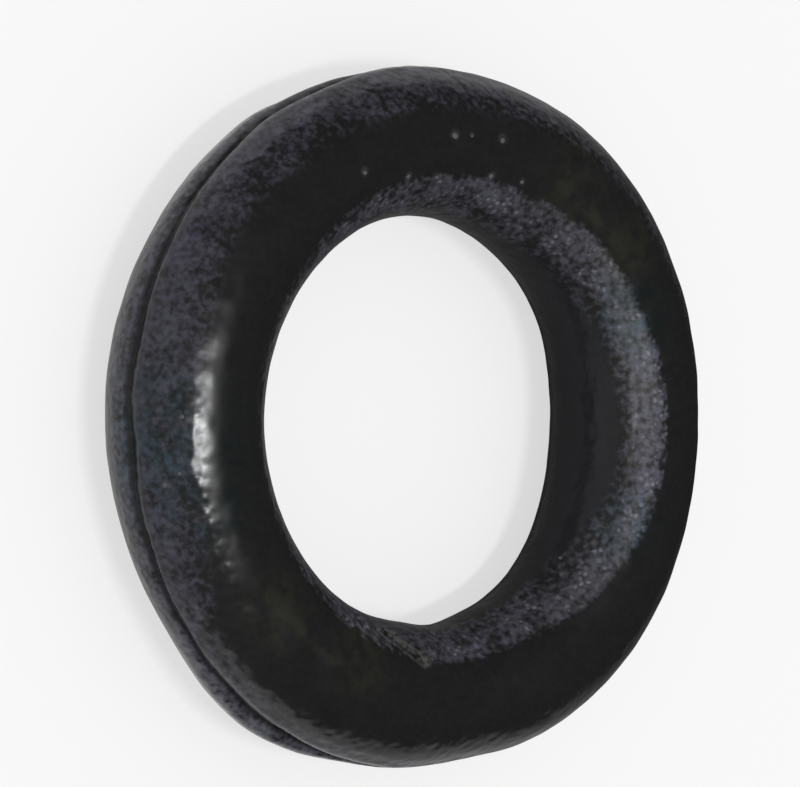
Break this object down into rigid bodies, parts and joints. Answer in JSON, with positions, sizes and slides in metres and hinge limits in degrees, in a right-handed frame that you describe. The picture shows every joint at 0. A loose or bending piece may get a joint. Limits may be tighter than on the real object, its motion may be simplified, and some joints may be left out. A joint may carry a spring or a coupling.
{
  "type": "o-ring",
  "caption": "Rubber o-ring with a round section, a fine mould parting groove around the outside and a trimmed land around the bore.",
  "frame": {"origin": "centre of the ring, on the mid-plane of its section", "axes": "+Z along the ring's axis, so that the ring lies flat; X and Y across the ring"},
  "size_m": [0.014, 0.014, 0.003],
  "materials": {
    "rubber": "satin black moulded rubber with fine grain and small pits"
  },
  "bodies": {
    "root": {"ring": "rubber"}
  },
  "joints": []
}
